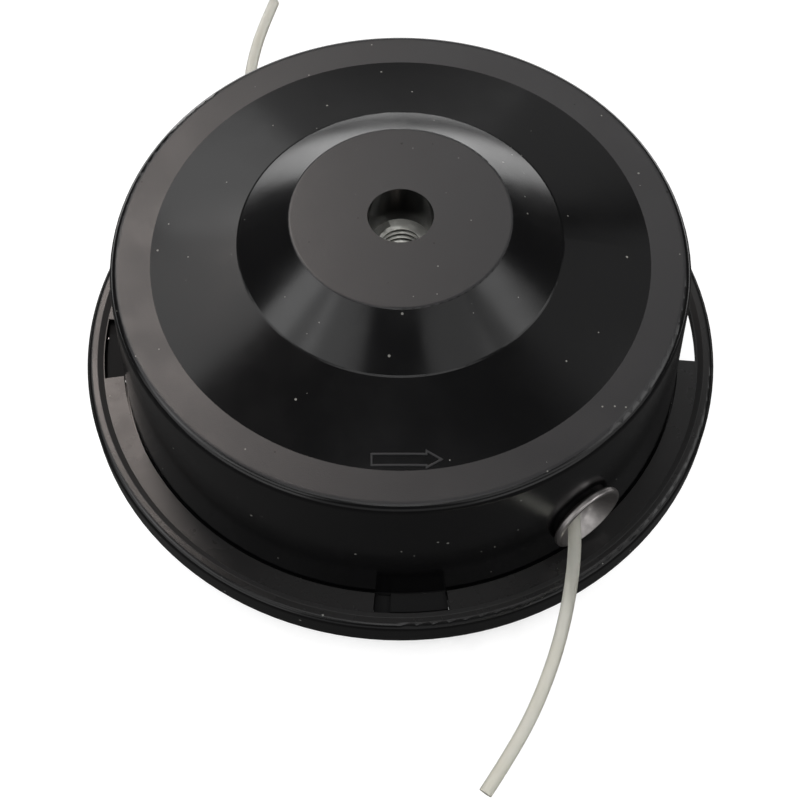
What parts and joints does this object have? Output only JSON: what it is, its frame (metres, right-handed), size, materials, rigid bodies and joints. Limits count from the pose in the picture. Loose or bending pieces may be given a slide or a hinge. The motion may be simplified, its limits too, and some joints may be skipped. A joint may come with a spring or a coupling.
{
  "type": "trimmer head",
  "caption": "Tap-feed grass trimmer head with a threaded steel insert, a sprung bump knob and a spool whose nylon line leaves through metal eyelets.",
  "frame": {"origin": "on the shaft axis, at the lowest point of the bump knob", "axes": "+Z along the shaft axis towards the gearbox, -Y towards the viewer of the picture"},
  "size_m": [0.14, 0.2123, 0.0659],
  "materials": {
    "housing_plastic": "black moulded nylon, satin on the wall and cone, fine matte grain on the flats",
    "cover_plastic": "black moulded nylon, satin",
    "knob_plastic": "black moulded nylon, fine grain",
    "spool_plastic": "black moulded nylon",
    "bush_plastic": "natural white acetal",
    "insert_steel": "turned and tapped steel",
    "ring_steel": "stamped zinc-plated steel",
    "spring_steel": "drawn spring wire with ground ends",
    "eyelet_metal": "turned and polished light alloy",
    "line_nylon": "translucent natural nylon monofilament"
  },
  "bodies": {
    "head": {"housing": "housing_plastic", "cover": "cover_plastic", "arbor_insert": "insert_steel", "insert_retaining_ring": "ring_steel", "eyelet_front": "eyelet_metal", "eyelet_rear": "eyelet_metal", "eyelet_washer_front": "ring_steel", "eyelet_washer_rear": "ring_steel", "spring_seat": "ring_steel", "compression_spring": "spring_steel", "line_front": "line_nylon", "line_rear": "line_nylon"},
    "thrust": {"thrust_washer": "ring_steel"},
    "reel": {"spool": "spool_plastic", "spool_bush": "bush_plastic", "line_winding": "line_nylon", "bump_knob": "knob_plastic"}
  },
  "joints": [
    {"name": "bump", "type": "slide", "parent": "head", "child": "thrust", "axis": [0, 0, 1], "range_m": [0, 0.006], "stiffness_N_per_m": 1080, "springref_m": -0.0265, "deforming": ["compression_spring"]},
    {"name": "index", "type": "hinge", "parent": "thrust", "child": "reel", "pos_m": [0, 0, 0], "axis": [0, 0, 1], "range_deg": [0, 28]}
  ]
}
